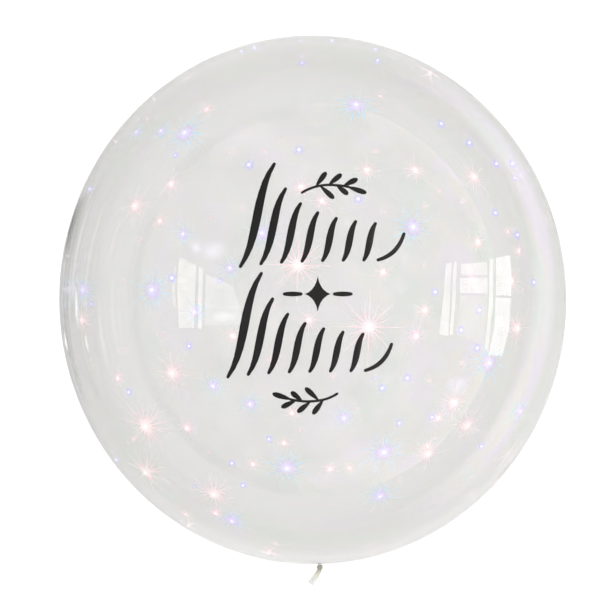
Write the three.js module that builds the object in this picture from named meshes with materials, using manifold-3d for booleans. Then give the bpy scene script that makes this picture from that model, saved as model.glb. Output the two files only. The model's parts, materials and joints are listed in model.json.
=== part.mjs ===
// A clear bubble balloon, lying on its back with the ornament on its face upwards.
//
// Frame: millimetres, +Z up. The origin is the middle of the flat patch that the film rests on.
// The neck points to -Y and the crown to +Y, so the long axis of the bubble is parallel to Y.
// The film is sealed, so the bubble is one solid with its gathered neck and its tail.
// Every black shape of the ornament is a piece of vinyl that follows the film.

import * as THREE from "three";
import { mergeVertices } from "three/addons/utils/BufferGeometryUtils.js";
import Module from "manifold-3d";

const wasm = await Module();
wasm.setup();

// The inflated film
const BUBBLE_WIDTH = 560;
const BUBBLE_LENGTH = 584;
const REST_SPOT_WIDTH = 80;

// The gathered neck, the thread wound round it, and the tail of film beyond the thread
const NECK_WIDTH = 4;
const NECK_FLARE = 1.6;
const THREAD_WIDTH = 1.1;
const THREAD_TURNS = 4;
const TAIL_LENGTH = 19;
const TAIL_WIDTH = 6;
const TAIL_THICKNESS = 1.2;
const TAIL_PLEAT = 0.7;
const TAIL_LEAN_DEG = 34;

// The vinyl, and the gap that each piece keeps to the one beneath it
const VINYL_THICKNESS = 0.5;
const CLEARANCE = 0.3;

// The ornament, measured as it is seen from straight above: x to the right, y to the crown
const PRINT_TURN_DEG = -1.5;
const STROKE_LEAN_DEG = 18;
const STROKE_BEND_DEG = 16;
const STROKE_THICK = 9;
const STROKE_THIN = 3.4;
const FLICK_THICK = 4.6;
const TALL_STROKE = 106;
const SHORT_STROKE = 34;
const STROKE_DECAY = 0.6;
const STROKE_PITCH = 21;
const STROKES = 7;
const ROW_RISE = 7;
const FLICK_LENGTH = 38;
const STAR_HEIGHT = 36;
const STAR_WIDTH = 26;
const DASH_LENGTH = 17;
const DASH_THICK = 5;
const DASH_GAP = 4;
const STEM_LENGTH = 48;
const STEM_ARCH = 12;
const STEM_RISE = 6;
const STEM_WIDTH = 2.6;
const LEAF_LENGTH = 19;
const LEAF_WIDTH = 6.8;
const OUTER_LEAVES = 3;
const INNER_LEAVES = 2;

// Where the first stroke of a row, the middle of the star and the foot of a stem stand
const UPPER_ROW = { x: -75, y: 34 };
const LOWER_ROW = { x: -88, y: -79 };
const STAR = { x: 4, y: 6 };
const UPPER_SPRIG = { x: -12, y: 110 };
const LOWER_SPRIG = { x: 24, y: -96 };

// How finely round shapes are cut into flats
const ROUND_STEPS = 60;
const MERIDIAN_STEPS = 32;
const NECK_STEPS = 20;
const TAIL_STEPS = 8;
const STROKE_STEPS = 10;
const CAP_STEPS = 4;
const LEAF_STEPS = 7;
const STAR_STEPS = 5;

const HALF_WIDTH = BUBBLE_WIDTH / 2;
const HALF_LENGTH = BUBBLE_LENGTH / 2;
const CENTRE_HEIGHT = Math.sqrt(HALF_WIDTH ** 2 - (REST_SPOT_WIDTH / 2) ** 2);
const NECK_RADIUS = NECK_WIDTH / 2;
const TIE_START = NECK_FLARE + CLEARANCE;
const TIE_LENGTH = THREAD_WIDTH * THREAD_TURNS;
const NECK_LENGTH = TIE_START + TIE_LENGTH + CLEARANCE;

const clearFilm = new THREE.MeshStandardMaterial({
  name: "clear_film",
  color: 0xe4e4e2,
  roughness: 0.04,
  metalness: 0,
  transparent: true,
  opacity: 0.3,
});
const blackVinyl = new THREE.MeshStandardMaterial({
  name: "black_vinyl",
  color: 0x303030,
  roughness: 0.45,
  metalness: 0,
});
const tieThread = new THREE.MeshStandardMaterial({
  name: "tie_thread",
  color: 0xb4b4a0,
  roughness: 0.6,
  metalness: 0,
});

// Joins and cuts work on solids, and each finished solid goes back to a geometry.
function solidOf(geometry) {
  const bare = geometry.clone();
  bare.deleteAttribute("normal");
  bare.deleteAttribute("uv");
  const merged = mergeVertices(bare);
  return new wasm.Manifold(
    new wasm.Mesh({
      numProp: 3,
      vertProperties: merged.attributes.position.array,
      triVerts: new Uint32Array(merged.index.array),
    }),
  );
}

function geometryOf(solid) {
  const mesh = solid.getMesh();
  const geometry = new THREE.BufferGeometry();
  geometry.setAttribute("position", new THREE.BufferAttribute(mesh.vertProperties, 3));
  geometry.setIndex(new THREE.BufferAttribute(mesh.triVerts, 1));
  geometry.computeVertexNormals();
  return geometry;
}

function namedMesh(name, solid, material) {
  const mesh = new THREE.Mesh(geometryOf(solid), material);
  mesh.name = name;
  return mesh;
}

// The film's egg shape about the Y axis, grown outwards by a given amount.
function eggSolid(grow) {
  const profile = Array.from({ length: MERIDIAN_STEPS + 1 }, (_, i) => {
    const angle = Math.PI * (i / MERIDIAN_STEPS - 0.5);
    const atPole = i % MERIDIAN_STEPS === 0;
    return new THREE.Vector2(
      atPole ? 0 : (HALF_WIDTH + grow) * Math.cos(angle),
      (HALF_LENGTH + grow) * Math.sin(angle),
    );
  });
  return solidOf(new THREE.LatheGeometry(profile, ROUND_STEPS));
}

// Everything under the rest spot, to be taken off the egg.
function groundSolid() {
  const ground = new THREE.BoxGeometry(BUBBLE_WIDTH, BUBBLE_LENGTH, BUBBLE_WIDTH);
  ground.translate(0, 0, -CENTRE_HEIGHT - BUBBLE_WIDTH / 2);
  return solidOf(ground);
}

// The gathered neck: a stub that flares out in a quarter round where it leaves the film.
function neckSolid() {
  const root = -HALF_LENGTH;
  const profile = [
    new THREE.Vector2(0, root - NECK_LENGTH),
    new THREE.Vector2(NECK_RADIUS, root - NECK_LENGTH),
  ];
  for (let i = 0; i <= CAP_STEPS; i++) {
    const turn = (Math.PI / 2) * (i / CAP_STEPS);
    profile.push(
      new THREE.Vector2(
        NECK_RADIUS + NECK_FLARE * (1 - Math.cos(turn)),
        root - NECK_FLARE * (1 - Math.sin(turn)),
      ),
    );
  }
  profile.push(new THREE.Vector2(NECK_RADIUS + NECK_FLARE, root + NECK_FLARE));
  profile.push(new THREE.Vector2(0, root + NECK_FLARE));
  return solidOf(new THREE.LatheGeometry(profile, NECK_STEPS));
}

// The tail leaves the neck round and fans out into a flat pleated strip that leans to one side.
function tailSolid() {
  const lean = THREE.MathUtils.degToRad(TAIL_LEAN_DEG);
  const start = new THREE.Vector2(0, CLEARANCE - HALF_LENGTH - NECK_LENGTH);
  const end = new THREE.Vector2(-Math.sin(lean), -Math.cos(lean)).multiplyScalar(TAIL_LENGTH).add(start);
  const bend = new THREE.Vector2(start.x, start.y - TAIL_LENGTH / 4);
  const route = new THREE.QuadraticBezierCurve(start, bend, end);
  const strip = new THREE.CylinderGeometry(1, 1, 1, NECK_STEPS, TAIL_STEPS);
  const position = strip.attributes.position;
  for (let i = 0; i < position.count; i++) {
    const along = 0.5 - position.getY(i);
    const across = position.getX(i);
    const fan = Math.sin((along * Math.PI) / 2);
    const halfWidth = THREE.MathUtils.lerp(NECK_RADIUS, TAIL_WIDTH / 2, fan);
    const halfThickness = THREE.MathUtils.lerp(NECK_RADIUS, TAIL_THICKNESS / 2, fan);
    const pleat = TAIL_PLEAT * fan * Math.sin(across * Math.PI);
    const middle = route.getPoint(along);
    const forward = route.getTangent(along);
    position.setXYZ(
      i,
      middle.x - forward.y * halfWidth * across,
      middle.y + forward.x * halfWidth * across,
      halfThickness * position.getZ(i) + pleat,
    );
  }
  return solidOf(strip);
}

// The turns of thread lie side by side round the neck, so the tie is a ring with a rounded bead a turn.
function tieSolid() {
  const inner = NECK_RADIUS + CLEARANCE;
  const top = -HALF_LENGTH - TIE_START;
  const profile = [new THREE.Vector2(inner, top)];
  for (let turn = 0; turn < THREAD_TURNS; turn++) {
    const middle = top - THREAD_WIDTH * (turn + 0.5);
    for (let i = 0; i <= CAP_STEPS; i++) {
      const angle = Math.PI * (0.5 - i / CAP_STEPS);
      profile.push(
        new THREE.Vector2(
          inner + (THREAD_WIDTH / 2) * (1 + Math.cos(angle)),
          middle + (THREAD_WIDTH / 2) * Math.sin(angle),
        ),
      );
    }
  }
  profile.push(new THREE.Vector2(inner, top - TIE_LENGTH));
  profile.push(profile[0].clone());
  profile.reverse();
  return solidOf(new THREE.LatheGeometry(profile, NECK_STEPS));
}

// A brush stroke is as thick as the brush in its middle and thin at its ends, which are round.
function brushOutline(route, thick, thin) {
  const side = (sign) =>
    Array.from({ length: STROKE_STEPS + 1 }, (_, i) => {
      const along = i / STROKE_STEPS;
      const forward = route.getTangent(along);
      const width = THREE.MathUtils.lerp(thin, thick, Math.sin(Math.PI * along));
      const normal = new THREE.Vector2(-forward.y, forward.x);
      return route.getPoint(along).addScaledVector(normal, (sign * width) / 2);
    });
  const cap = (along, outwards) =>
    Array.from({ length: CAP_STEPS - 1 }, (_, i) => {
      const angle = outwards - Math.PI / 2 + (Math.PI * (i + 1)) / CAP_STEPS;
      const reach = new THREE.Vector2(Math.cos(angle), Math.sin(angle)).multiplyScalar(thin / 2);
      return route.getPoint(along).add(reach);
    });
  return [
    ...side(-1),
    ...cap(1, route.getTangent(1).angle()),
    ...side(1).reverse(),
    ...cap(0, route.getTangent(0).angle() + Math.PI),
  ];
}

// A leaning blade, a little steeper in its middle than at its foot and head.
function bladeOutline(x, y, height) {
  const foot = new THREE.Vector2(x, y);
  const lean = THREE.MathUtils.degToRad(90 - STROKE_LEAN_DEG);
  const end = THREE.MathUtils.degToRad(90 - STROKE_LEAN_DEG - STROKE_BEND_DEG);
  const head = new THREE.Vector2(height / Math.tan(lean), height).add(foot);
  const handle = new THREE.Vector2(Math.cos(end), Math.sin(end)).multiplyScalar(height / 3);
  const route = new THREE.CubicBezierCurve(foot, foot.clone().add(handle), head.clone().sub(handle), head);
  const thick = STROKE_THICK * THREE.MathUtils.lerp(0.65, 1, height / TALL_STROKE);
  return brushOutline(route, thick, STROKE_THIN);
}

// The thin stroke that swings up and away from the end of a row.
function flickOutline(x, y) {
  const reach = FLICK_LENGTH * Math.SQRT1_2;
  const route = new THREE.QuadraticBezierCurve(
    new THREE.Vector2(x, y),
    new THREE.Vector2(x + reach * 0.75, y + reach * 0.2),
    new THREE.Vector2(x + reach, y + reach),
  );
  return brushOutline(route, FLICK_THICK, STROKE_THIN);
}

// A star of four points whose sides curve in towards its middle.
function starOutline(x, y) {
  const middle = new THREE.Vector2(x, y);
  const points = [
    new THREE.Vector2(STAR_WIDTH / 2, 0),
    new THREE.Vector2(0, STAR_HEIGHT / 2),
    new THREE.Vector2(-STAR_WIDTH / 2, 0),
    new THREE.Vector2(0, -STAR_HEIGHT / 2),
  ];
  return points.flatMap((point, i) => {
    const next = points[(i + 1) % points.length];
    const waist = point.clone().add(next).multiplyScalar(0.2);
    const side = new THREE.QuadraticBezierCurve(point, waist, next);
    return Array.from({ length: STAR_STEPS }, (_, k) => side.getPoint(k / STAR_STEPS).add(middle));
  });
}

function dashOutline(x, y, towards) {
  const inner = new THREE.Vector2(x + towards * (STAR_WIDTH / 2 + DASH_GAP), y);
  const outer = inner.clone().add(new THREE.Vector2(towards * DASH_LENGTH, 0));
  return brushOutline(new THREE.LineCurve(inner, outer), DASH_THICK, STROKE_THIN);
}

// A leaf is narrow where it leaves the stem, and widest near its round tip.
function leafOutline(root, turnDeg, share) {
  const turn = THREE.MathUtils.degToRad(turnDeg);
  const forward = new THREE.Vector2(Math.cos(turn), Math.sin(turn));
  const normal = new THREE.Vector2(-forward.y, forward.x);
  return Array.from({ length: 2 * LEAF_STEPS }, (_, i) => {
    const around = (Math.PI * i) / LEAF_STEPS;
    const along = (1 - Math.cos(around)) / 2;
    const swell = Math.sin(around) * (0.4 + 0.75 * along);
    return root
      .clone()
      .addScaledVector(forward, LEAF_LENGTH * share * along)
      .addScaledVector(normal, (-swell * LEAF_WIDTH) / 2);
  });
}

// One sprig from the foot of its stem: leaves along the outer side and the inner side, and one at the end.
function sprigOutlines() {
  const stem = new THREE.QuadraticBezierCurve(
    new THREE.Vector2(0, 0),
    new THREE.Vector2(STEM_LENGTH * 0.37, STEM_ARCH),
    new THREE.Vector2(STEM_LENGTH, STEM_RISE),
  );
  const outer = Array.from({ length: OUTER_LEAVES }, (_, i) => {
    const far = i / (OUTER_LEAVES - 1);
    return leafOutline(stem.getPoint(0.35 + 0.55 * far), 54 - 28 * far, 1 - 0.1 * far);
  });
  const inner = Array.from({ length: INNER_LEAVES }, (_, i) => {
    const far = i / (INNER_LEAVES - 1);
    return leafOutline(stem.getPoint(0.45 + 0.33 * far), 4 * far - 43, 1.04 - 0.22 * far);
  });
  const last = leafOutline(stem.getPoint(0.97), -18, 1.12);
  return [brushOutline(stem, STEM_WIDTH, STEM_WIDTH), ...outer, ...inner, last];
}

// A piece of vinyl: upright prisms on its outlines, cut down to the layer that follows the film.
const vinylLayer = eggSolid(CLEARANCE + VINYL_THICKNESS).subtract(eggSolid(CLEARANCE));
const printTurn = THREE.MathUtils.degToRad(PRINT_TURN_DEG);

function vinylMesh(name, outlines) {
  const prisms = outlines.map((outline) => {
    const turned = outline.map((point) => point.clone().rotateAround(new THREE.Vector2(), printTurn));
    const shape = new THREE.Shape(turned);
    return solidOf(new THREE.ExtrudeGeometry(shape, { depth: BUBBLE_WIDTH, bevelEnabled: false }));
  });
  const cut = prisms.reduce((joined, prism) => joined.add(prism)).intersect(vinylLayer);
  return namedMesh(name, cut, blackVinyl);
}

// A row: strokes that fall off in height from one tall one, and a flick at the end.
function strokeRow(name, start) {
  const row = new THREE.Group();
  const footOf = (i) => start.y + ROW_RISE * (1 - STROKE_DECAY ** i);
  for (let i = 0; i < STROKES; i++) {
    const height = THREE.MathUtils.lerp(SHORT_STROKE, TALL_STROKE, STROKE_DECAY ** i);
    const outline = bladeOutline(start.x + STROKE_PITCH * i, footOf(i), height);
    row.add(vinylMesh(`${name}_stroke_${i + 1}`, [outline]));
  }
  const flick = flickOutline(start.x + STROKE_PITCH * (STROKES - 0.3), footOf(STROKES));
  row.add(vinylMesh(`${name}_flick`, [flick]));
  return row;
}

// The motif that parts the rows: a star between two dashes.
function starMotif() {
  const motif = new THREE.Group();
  motif.add(
    vinylMesh("star", [starOutline(STAR.x, STAR.y)]),
    vinylMesh("star_dash_left", [dashOutline(STAR.x, STAR.y, -1)]),
    vinylMesh("star_dash_right", [dashOutline(STAR.x, STAR.y, 1)]),
  );
  return motif;
}

function sprig(name, foot, turn) {
  const outlines = sprigOutlines().map((outline) =>
    outline.map((point) =>
      point.clone().rotateAround(new THREE.Vector2(), turn).add(new THREE.Vector2(foot.x, foot.y)),
    ),
  );
  return vinylMesh(name, outlines);
}

const bubble = eggSolid(0).add(neckSolid()).add(tailSolid()).subtract(groundSolid());

const balloon = new THREE.Group();
balloon.position.z = CENTRE_HEIGHT;
balloon.add(
  namedMesh("bubble", bubble, clearFilm),
  namedMesh("neck_tie", tieSolid(), tieThread),
  strokeRow("upper_row", UPPER_ROW),
  strokeRow("lower_row", LOWER_ROW),
  starMotif(),
  sprig("upper_sprig", UPPER_SPRIG, 0),
  sprig("lower_sprig", LOWER_SPRIG, Math.PI),
);

export default balloon;
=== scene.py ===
# %% [markdown]
# # A clear bubble balloon
# The real thing is a sealed skin of clear stretched film, nearly round, with cut black vinyl stuck to
# its face, glints of light inside it, and a gathered neck that is tied with thread and ends in a short
# tail. We build it in metres around the model that the frame loads, so every size below starts from
# that frame.

# %% Load the frame and measure the bubble
import json
import math

import bmesh
import bpy
from mathutils import Matrix, Vector


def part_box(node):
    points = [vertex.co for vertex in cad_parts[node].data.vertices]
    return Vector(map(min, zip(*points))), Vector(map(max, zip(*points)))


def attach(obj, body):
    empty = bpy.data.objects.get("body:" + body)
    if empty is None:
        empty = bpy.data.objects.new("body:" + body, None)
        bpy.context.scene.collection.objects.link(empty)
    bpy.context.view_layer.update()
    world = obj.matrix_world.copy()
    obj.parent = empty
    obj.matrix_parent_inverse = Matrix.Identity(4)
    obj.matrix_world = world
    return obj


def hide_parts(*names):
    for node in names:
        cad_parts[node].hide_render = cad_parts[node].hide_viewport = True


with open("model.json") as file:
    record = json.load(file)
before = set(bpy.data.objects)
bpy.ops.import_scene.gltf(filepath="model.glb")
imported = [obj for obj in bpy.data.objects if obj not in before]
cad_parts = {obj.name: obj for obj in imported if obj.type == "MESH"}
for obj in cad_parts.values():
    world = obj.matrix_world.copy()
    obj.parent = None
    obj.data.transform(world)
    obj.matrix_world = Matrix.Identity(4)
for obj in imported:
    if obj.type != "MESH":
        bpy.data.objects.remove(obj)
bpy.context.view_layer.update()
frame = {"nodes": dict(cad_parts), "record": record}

MM = 0.001
bubble_low, bubble_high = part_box("bubble")
HALF_WIDTH = (bubble_high.x - bubble_low.x) / 2
HALF_LENGTH = bubble_high.y
CENTRE = Vector((0, 0, bubble_high.z - HALF_WIDTH))
AXES = Vector((HALF_WIDTH, HALF_LENGTH, HALF_WIDTH))
print(f"bubble {2 * HALF_WIDTH:.3f} m across and {2 * HALF_LENGTH:.3f} m long")
print(f"its middle is {CENTRE.z:.4f} m up")

# %% [markdown]
# The camera looks straight down on the balloon, as the photograph looks straight at its face. A long
# lens from 3.5 m away keeps the outline as round as it is there. The bubble fills 507 of the 600 pixels
# across, stands 13 pixels to the right of the middle and leans a little to the left, which a small turn
# of the camera gives.

# %% Camera
PICTURE = 600
SENSOR_WIDTH = 36
BUBBLE_PIXELS = 507.2
BUBBLE_MIDDLE = (312.7, 299.9)
CAMERA_DISTANCE = 3.5
CAMERA_TURN = math.radians(-1.5)

seen_half = HALF_WIDTH / math.sqrt(1 - (HALF_WIDTH / CAMERA_DISTANCE) ** 2)
METRES_PER_PIXEL = 2 * seen_half / BUBBLE_PIXELS
HALF_VIEW = METRES_PER_PIXEL * PICTURE / 2 / CAMERA_DISTANCE


def new_object(name, data):
    """Puts data into the scene as an object at the origin."""
    thing = bpy.data.objects.new(name, data)
    bpy.context.scene.collection.objects.link(thing)
    return thing


camera_data = bpy.data.cameras.new("camera")
camera_data.sensor_width = SENSOR_WIDTH
camera_data.lens = SENSOR_WIDTH / 2 / HALF_VIEW
camera = new_object("camera", camera_data)
bpy.context.scene.camera = camera
aside = Vector((PICTURE / 2 - BUBBLE_MIDDLE[0], BUBBLE_MIDDLE[1] - PICTURE / 2, 0)) * METRES_PER_PIXEL
camera_turn = Matrix.Rotation(CAMERA_TURN, 3, "Z")
camera.location = CENTRE + camera_turn @ aside + Vector((0, 0, CAMERA_DISTANCE))
camera.rotation_euler = (0, 0, CAMERA_TURN)
print(f"lens {camera_data.lens:.0f} mm")
print(f"one pixel is {METRES_PER_PIXEL / MM:.3f} mm at the bubble's middle")

# %% [markdown]
# Several things sit where the photograph shows them: the larger glints, and the windows that the film
# mirrors. One function follows a pixel's line of sight down to the film, and gives the place and the
# way the film faces.

# %% From a pixel to a place on the film
def on_film(pixel_x, pixel_y, inside=0.0):
    """Where a pixel's line of sight meets the upper wall, and the outward direction there."""
    across = (pixel_x / PICTURE - 0.5) * 2 * HALF_VIEW
    up = (0.5 - pixel_y / PICTURE) * 2 * HALF_VIEW
    sight = camera_turn @ Vector((across, up, -1))
    axes = AXES - Vector((inside, inside, inside))
    start = Vector(a / b for a, b in zip(camera.location - CENTRE, axes))
    step = Vector(a / b for a, b in zip(sight, axes))
    half = start.dot(step) / step.length_squared
    left = max(half * half - (start.length_squared - 1) / step.length_squared, 0)
    place = camera.location + sight * (-half - math.sqrt(left))
    outward = Vector((p / (a * a) for p, a in zip(place - CENTRE, axes))).normalized()
    return place, outward


print("middle of the picture meets the film at", [round(c, 3) for c in on_film(PICTURE / 2, PICTURE / 2)[0]])

# %% [markdown]
# Colours are written as sRGB hex values, as a paint chart gives them. Blender mixes light with linear
# values, so one function turns the one into the other, and nothing else in the script needs to know the
# curve between them.

# %% Colours from hex values
def linear(hex_colour):
    """An sRGB hex colour as linear red, green, blue and an alpha of 1."""
    shares = [int(hex_colour[i : i + 2], 16) / 255 for i in (1, 3, 5)]
    return [s / 12.92 if s <= 0.04045 else ((s + 0.055) / 1.055) ** 2.4 for s in shares] + [1.0]


print("middle grey #808080 is", round(linear("#808080")[0], 3), "of white when it is linear")

# %% [markdown]
# Every material and every Geometry Nodes tree is wired with one small function. It adds a node with its
# settings, and fills each input with a value or with another node's output. Inputs come as a dictionary
# by name, or as a row in the node's own order: a Map Range then reads as value, from low, from high, to
# low, to high. A single input needs neither. The kinds that are used most get a short name first.

# %% One function that adds a node
MATH = "ShaderNodeMath"
VECTOR_MATH = "ShaderNodeVectorMath"
MAP_RANGE = "ShaderNodeMapRange"
SEPARATE = "ShaderNodeSeparateXYZ"
COMBINE = "ShaderNodeCombineXYZ"
NOISE = "ShaderNodeTexNoise"
COORDINATES = "ShaderNodeTexCoord"
COLOUR_RAMP = "ShaderNodeValToRGB"
BUMP = "ShaderNodeBump"
PRINCIPLED = "ShaderNodeBsdfPrincipled"
EMISSION = "ShaderNodeEmission"
SURFACE_OUTPUT = "ShaderNodeOutputMaterial"
POSITION = "GeometryNodeInputPosition"
REALIZE = "GeometryNodeRealizeInstances"
SET_MATERIAL = "GeometryNodeSetMaterial"


def add(tree, kind, inputs=(), stops=(), **settings):
    """Adds one node. An input is a value, a socket or a node; a ramp's stops are (place, hex colour)."""
    node = tree.nodes.new(kind)
    for name, value in settings.items():
        setattr(node, name, value)
    if not isinstance(inputs, (dict, tuple)):
        inputs = (inputs,)
    for key, value in inputs.items() if isinstance(inputs, dict) else enumerate(inputs):
        if isinstance(value, bpy.types.Node):
            value = value.outputs[0]
        if isinstance(value, bpy.types.NodeSocket):
            tree.links.new(value, node.inputs[key])
        else:
            node.inputs[key].default_value = value
    for i, (place, hex_colour) in enumerate(stops):
        if i >= len(node.color_ramp.elements):
            node.color_ramp.elements.new(1)
        node.color_ramp.elements[i].position = place
        node.color_ramp.elements[i].color = linear(hex_colour)
    return node


def new_material(name):
    """A material with an empty node tree."""
    material = bpy.data.materials.new(name)
    material.use_nodes = True
    material.node_tree.nodes.clear()
    return material, material.node_tree


print("a node is added by one function, add, for every tree below")

# %% [markdown]
# ## The film
# The skin is stretched PVC film, about a tenth of a millimetre thick, clear and glossy. It hardly shows
# except by what it mirrors. Glass would need one thick wall and a lamp for every highlight. We take a
# closed wall half a millimetre thick with the index of PVC instead, because it bends light so little
# that the floor shows through.

# %% Film material
FILM_TINT = "#EEEEED"
FILM_IOR = 1.5
RIPPLE_LENGTH = 40 * MM
RIPPLE_HEIGHT = 1 * MM
RIPPLE_STRENGTH = 0.05


def stretched_clear_film():
    material, tree = new_material("stretched_clear_film")
    # Blown and stretched PVC film is as smooth as glass. To the eye that gives sharp mirror images on a
    # body that is seen only at its rim. Soft ripples from stretching, some 40 mm long, make them waver.
    place = add(tree, COORDINATES).outputs["Object"]
    ripple = add(tree, NOISE, {"Vector": place, "Scale": 1 / RIPPLE_LENGTH, "Detail": 1.0})
    bump = add(tree, BUMP, {"Height": ripple, "Strength": RIPPLE_STRENGTH, "Distance": RIPPLE_HEIGHT})
    film = add(tree, PRINCIPLED, {
        "Base Color": linear(FILM_TINT), "Roughness": 0.0, "IOR": FILM_IOR,
        "Transmission Weight": 1.0, "Normal": bump,
    })
    add(tree, SURFACE_OUTPUT, film)
    return material


FILM = stretched_clear_film()
print("made", FILM.name)

# %% [markdown]
# The skin's shape is a rule: an egg turned about its long axis, with a short flare down to the gathered
# neck. So the mesh is a stack of rings. They stand close together near the neck, where the pleats are.

# %% The skin as rings about the long axis
NECK_RADIUS = 2 * MM
NECK_FLARE = 1.6 * MM
NECK_LENGTH = 6.6 * MM
PLEATED_RADIUS = 70 * MM
PLEATS = 30
SEGMENTS = 6 * PLEATS
EGG_RINGS = 90
PLEATED_RINGS = 26
FLARE_RINGS = 4


def skin_profile():
    """Radius and place along Y of each ring, from the crown to the end of the neck."""
    flare_top = NECK_RADIUS + NECK_FLARE
    last = math.acos(PLEATED_RADIUS / HALF_WIDTH)
    profile = []
    for i in range(1, EGG_RINGS):
        angle = math.pi / 2 - (math.pi / 2 + last) * i / EGG_RINGS
        profile.append((HALF_WIDTH * math.cos(angle), HALF_LENGTH * math.sin(angle)))
    for i in range(PLEATED_RINGS + 1):
        radius = PLEATED_RADIUS * (flare_top / PLEATED_RADIUS) ** (i / PLEATED_RINGS)
        profile.append((radius, -HALF_LENGTH * math.sqrt(1 - (radius / HALF_WIDTH) ** 2)))
    for i in range(1, FLARE_RINGS + 1):
        turn = math.pi / 2 * (1 - i / FLARE_RINGS)
        radius = NECK_RADIUS + NECK_FLARE * (1 - math.cos(turn))
        profile.append((radius, -HALF_LENGTH - NECK_FLARE * (1 - math.sin(turn))))
    profile.append((NECK_RADIUS, -HALF_LENGTH - NECK_LENGTH))
    return profile


def lofted(name, rings, start=None):
    """A closed mesh through rings of equal length. A start point or else a face closes the first one."""
    mesh = bmesh.new()
    rows = [[mesh.verts.new(point) for point in ring] for ring in rings]
    for row, following in zip(rows, rows[1:]):
        for i, corner in enumerate(row):
            after = (i + 1) % len(row)
            mesh.faces.new((corner, row[after], following[after], following[i]))
    if start is None:
        mesh.faces.new(rows[0])
    else:
        pole = mesh.verts.new(start)
        for i, corner in enumerate(rows[0]):
            mesh.faces.new((pole, rows[0][(i + 1) % len(rows[0])], corner))
    mesh.faces.new(rows[-1])
    bmesh.ops.recalc_face_normals(mesh, faces=mesh.faces)
    data = bpy.data.meshes.new(name)
    mesh.to_mesh(data)
    mesh.free()
    data.shade_smooth()
    return new_object(name, data)


def ring(radius, y):
    """Points round the long axis at one place along it."""
    turns = [2 * math.pi * i / SEGMENTS for i in range(SEGMENTS)]
    return [CENTRE + Vector((radius * math.sin(t), y, radius * math.cos(t))) for t in turns]


film = lofted("film", [ring(*row) for row in skin_profile()], CENTRE + Vector((0, HALF_LENGTH, 0)))
print("film rings give", len(film.data.polygons), "faces")

# %% [markdown]
# What repeats or follows a rule is work for Geometry Nodes: here the pleats, the wound thread and the
# glints. These helpers make a tree with named inputs, set them on a modifier by the identifier of each
# socket, and turn the result into a plain mesh, because the frame wants meshes without live modifiers.

# %% Helpers for Geometry Nodes
def new_tree(name, sizes):
    """A geometry tree with named inputs, given as name: (socket type, value)."""
    tree = bpy.data.node_groups.new(name, "GeometryNodeTree")
    tree.interface.new_socket("Geometry", in_out="INPUT", socket_type="NodeSocketGeometry")
    for label, (kind, value) in sizes.items():
        socket = tree.interface.new_socket(label, in_out="INPUT", socket_type=f"NodeSocket{kind}")
        if kind != "Material":
            socket.default_value = value
    tree.interface.new_socket("Geometry", in_out="OUTPUT", socket_type="NodeSocketGeometry")
    return tree, tree.nodes.new("NodeGroupInput").outputs


def set_inputs(modifier, values):
    """Sets a modifier's inputs by the identifier of the socket with each name."""
    for item in modifier.node_group.interface.items_tree:
        if item.in_out == "INPUT" and item.name in values:
            modifier[item.identifier] = values[item.name]


def run_tree(piece, tree, values):
    """Runs a tree on a piece and turns the result into its plain mesh."""
    modifier = piece.modifiers.new(tree.name, "NODES")
    modifier.node_group = tree
    set_inputs(modifier, values)
    keep_result(piece)


def keep_result(piece):
    """Replaces a piece's mesh by what its modifiers make of it, and removes them."""
    evaluated = piece.evaluated_get(bpy.context.evaluated_depsgraph_get())
    result = bpy.data.meshes.new_from_object(evaluated)
    piece.modifiers.clear()
    piece.data = result


def joined(tree, parts):
    """One geometry from several. The node has a single input that takes any number of links."""
    whole = add(tree, "GeometryNodeJoinGeometry")
    for part in parts:
        tree.links.new(part.outputs[0], whole.inputs[0])
    return whole


print("a tree is run on a piece, and only the mesh that it makes is kept")

# %% [markdown]
# Near the neck the film is drawn together, so it lies in fine pleats that fade out over the bubble.
# They could be sculpted one by one, but a wave round the axis does them all: it pushes the skin
# inwards, less and less with the distance from the neck. The same tree presses the skin flat where it
# lies on the floor.

# %% Pleats and rest spot in Geometry Nodes
PLEAT_DEPTH = 1.0 * MM
PLEAT_REACH = 26 * MM
PLEAT_GROWTH = 9 * MM
SLOW_WAVES = 7.0
SHORTEST_PLEAT = 0.5


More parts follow.
